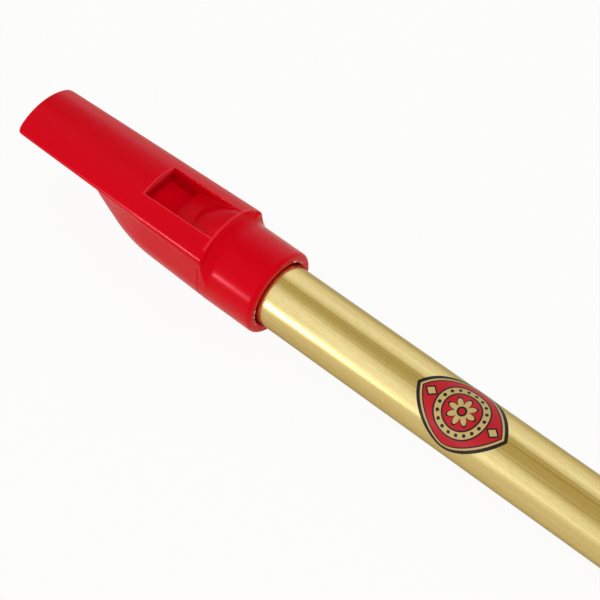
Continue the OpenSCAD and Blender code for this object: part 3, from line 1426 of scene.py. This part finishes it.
@dataclass
class Studio:
    """Pale floor, soft lights, white surroundings and the camera.

    A soft box is told by places along its axis, from -1 to 1, and the level of light at each. The axes are
    directions in the sky.
    """

    lens: float = 108.0
    sensor: float = 36.0
    clip: Pair = (0.01, 50.0)
    right: Point = (0.757327, 0.652871, 0.014657)
    down: Point = (0.534785, -0.607155, -0.587681)
    forward: Point = (-0.374781, 0.452905, -0.80896)
    place: Point = (-77.147196, -118.407983, 213.619962)
    floor_size: float = 6.0
    collar_low: float = -6.9
    foot_low: float = -5.15
    collar_to_foot: float = 183.0
    floor_gap: float = 0.02
    floor_white: float = 0.93
    floor_gloss: float = 0.15
    paint: Colour = (0.78, 0.755, 0.68, 1.0)
    ambient: float = 0.72
    left_way: Point = (0.934, 0.357, 0.0)
    left_box: tuple[Pair, ...] = (
        (-1.0, 0.75), (-0.75, 0.90), (-0.66, 1.05), (-0.60, 1.15), (-0.50, 1.17), (-0.465, 0.98),
        (-0.43, 0.70), (-0.385, 0.56), (-0.33, 0.51), (0.05, 0.51), (0.30, 0.90), (0.60, 0.95), (1.0, 0.80),
    )
    right_way: Point = (0.0, 1.0, 0.0)
    right_box: tuple[Pair, ...] = (
        (-1.0, 0.40), (0.15, 0.50), (0.25, 0.54), (0.33, 0.61), (0.40, 0.71), (0.47, 0.87), (0.54, 1.0),
        (0.62, 1.07), (0.70, 1.07), (0.80, 1.02), (0.88, 0.97), (0.94, 0.90), (1.0, 0.80),
    )
    warm_level: float = 0.5
    cool_span: float = 0.55
    green_share: Pair = (0.88, 0.17)
    blue_share: Pair = (0.48, 0.70)
    lens_way: Point = (0.773, 0.453, 0.443)
    lens_edge: Pair = (0.88, 0.2)
    lens_dim: float = 0.7
    ramp_way: Point = (-0.830, 0.437, 0.346)
    ramp_edge: Pair = (0.91, 0.1)
    ramp_dim: float = 0.8
    lamps: tuple[Lamp, ...] = (
        Lamp("head_strip", 0.45, (0.066, 0.085), (-0.470, -0.51, 0.05)),
        Lamp("collar_glint", 0.50, (0.024, 0.045), (-0.450, -0.51, 0.045), use=LampUse.GLOSS),
        Lamp("tube_strip", 0.046, (0.102, 0.045), (-0.386, -0.51, 0.024)),
        Lamp("fill", 3.85, (0.3, 0.3), (0.347, -0.524, 0.934), (-0.2, 0.0, 0.0), LampUse.MATT),
    )

    def camera(self) -> None:
        """Sets the camera at the photograph's viewing angle."""
        data = bpy.data.cameras.new("camera")
        data.lens = self.lens
        data.sensor_width = self.sensor
        data.clip_start, data.clip_end = self.clip
        made = bpy.data.objects.new("camera", data)
        up, back = (tuple(-value for value in way) for way in (self.down, self.forward))
        turn = Matrix((self.right, up, back)).transposed()
        made.matrix_world = Matrix.Translation(Vector(self.place) * MM) @ turn.to_4x4()
        bpy.context.scene.collection.objects.link(made)
        bpy.context.scene.camera = made

    def floor(self) -> None:
        """Pale floor that touches the collar and the foot."""
        bm = bmesh.new()
        bmesh.ops.create_grid(bm, x_segments=1, y_segments=1, size=self.floor_size / 2 / MM)
        tilt = math.atan2(self.foot_low - self.collar_low, self.collar_to_foot)
        bmesh.ops.rotate(bm, cent=(0, 0, 0), matrix=Matrix.Rotation(-tilt, 3, "Y"), verts=bm.verts)
        bmesh.ops.translate(bm, vec=(0, 0, self.foot_low - self.floor_gap), verts=bm.verts)
        made = Bench.link(bm, "floor")
        made.data.transform(Matrix.Scale(MM, 4))
        material = bpy.data.materials.new("floor")
        material.use_nodes = True
        graph = Graph(material.node_tree)
        path = graph.node("ShaderNodeLightPath")
        mirrored = Signal(graph, path.outputs["Is Glossy Ray"])
        seen = self.seen(graph, path) * self.floor_white + mirrored * self.floor_gloss
        paint = graph.node("ShaderNodeBsdfDiffuse", None, {"Color": self.paint})
        white = graph.node("ShaderNodeEmission", None, {"Color": WHITE, "Strength": 1.0})
        both = graph.node("ShaderNodeMixShader", None, {
            0: seen, 1: paint.outputs[0], 2: white.outputs[0],
        })
        graph.node("ShaderNodeOutputMaterial", None, {"Surface": both.outputs[0]})
        made.data.materials.append(material)

    @staticmethod
    def seen(graph: Graph, path: bpy.types.Node) -> Signal:
        """Mask of rays that come from the camera, straight or through something clear.

        Args:
            graph: The nodes.
            path: The Light Path node.

        Returns:
            The mask.
        """
        clear = Signal(graph, path.outputs["Is Transmission Ray"])
        return Signal(graph, path.outputs["Is Camera Ray"]).math("MAXIMUM", clear)

    @staticmethod
    def along(graph: Graph, where: bpy.types.NodeSocket, way: Point) -> Signal:
        """How far a direction in the sky points along an axis.

        Args:
            graph: The world's nodes.
            where: Direction in the sky.
            way: The axis.

        Returns:
            The share, from -1 to 1.
        """
        return graph.signal(
            "ShaderNodeVectorMath", "Value", {"operation": "DOT_PRODUCT"}, {0: where, 1: way}
        )

    def box(
        self, graph: Graph, where: bpy.types.NodeSocket, way: Point, stops: Sequence[Pair]
    ) -> bpy.types.NodeSocket:
        """Light of one soft box over the sky, bluer where it is bright.

        Args:
            graph: The world's nodes.
            where: Direction in the sky.
            way: Axis along which the light changes.
            stops: Places along the axis, from -1 to 1, and the level at each.

        Returns:
            The colour's socket.
        """
        colours = []
        for place, level in stops:
            cool = min(max((level - self.warm_level) / self.cool_span, 0.0), 1.0)
            green, blue = (level * (base + more * cool) for base, more in (self.green_share, self.blue_share))
            colours.append(((place + 1) / 2, (level, green, blue, 1.0)))
        share = self.along(graph, where, way) * 0.5 + 0.5
        return graph.node("ShaderNodeValToRGB", {"stops": colours}, {"Fac": share}).outputs["Color"]

    def surroundings(self) -> None:
        """White surroundings; what shines sees two soft boxes with a darker gap between them."""
        world = bpy.data.worlds.new("studio")
        bpy.context.scene.world = world
        world.use_nodes = True
        graph = Graph(world.node_tree)
        path = graph.node("ShaderNodeLightPath")
        where = graph.node("ShaderNodeTexCoord").outputs["Generated"]
        boxes = graph.node("ShaderNodeMix", {"data_type": "RGBA", "blend_type": "LIGHTEN"}, {
            0: 1.0, 6: self.box(graph, where, self.left_way, self.left_box),
            7: self.box(graph, where, self.right_way, self.right_box),
        }).outputs[2]
        lens = self.along(graph, where, self.lens_way).above(*self.lens_edge) * self.lens_dim
        ramp = self.along(graph, where, self.ramp_way).above(*self.ramp_edge) * self.ramp_dim
        boxes = graph.mix(lens.math("MAXIMUM", ramp), boxes, DARK)
        soft = (self.ambient, self.ambient, self.ambient, 1.0)
        colour = graph.mix(Signal(graph, path.outputs["Is Glossy Ray"]), soft, boxes)
        colour = graph.mix(self.seen(graph, path), colour, WHITE)
        back = graph.node("ShaderNodeBackground", None, {"Color": colour, "Strength": 1.0})
        graph.node("ShaderNodeOutputWorld", None, {"Surface": back.outputs[0]})

    def build(self) -> None:
        """Sets up the whole studio."""
        self.camera()
        self.floor()
        self.surroundings()
        for lamp in self.lamps:
            lamp.build()
        bpy.context.scene.view_settings.view_transform = "Standard"


def main() -> None:
    """Builds the scene in order and reports each piece."""
    logging.basicConfig(level=logging.INFO, format="%(name)s: %(message)s")
    Studio().build()
    for maker in (FilmSleeve(), MouldedHead(), BrassTube(), TubeTransfer(), AdhesiveBeads()):
        piece = maker.build()
        LOG.info("%s: %d faces", piece.name, len(piece.data.polygons))


if __name__ == "__main__":
    main()
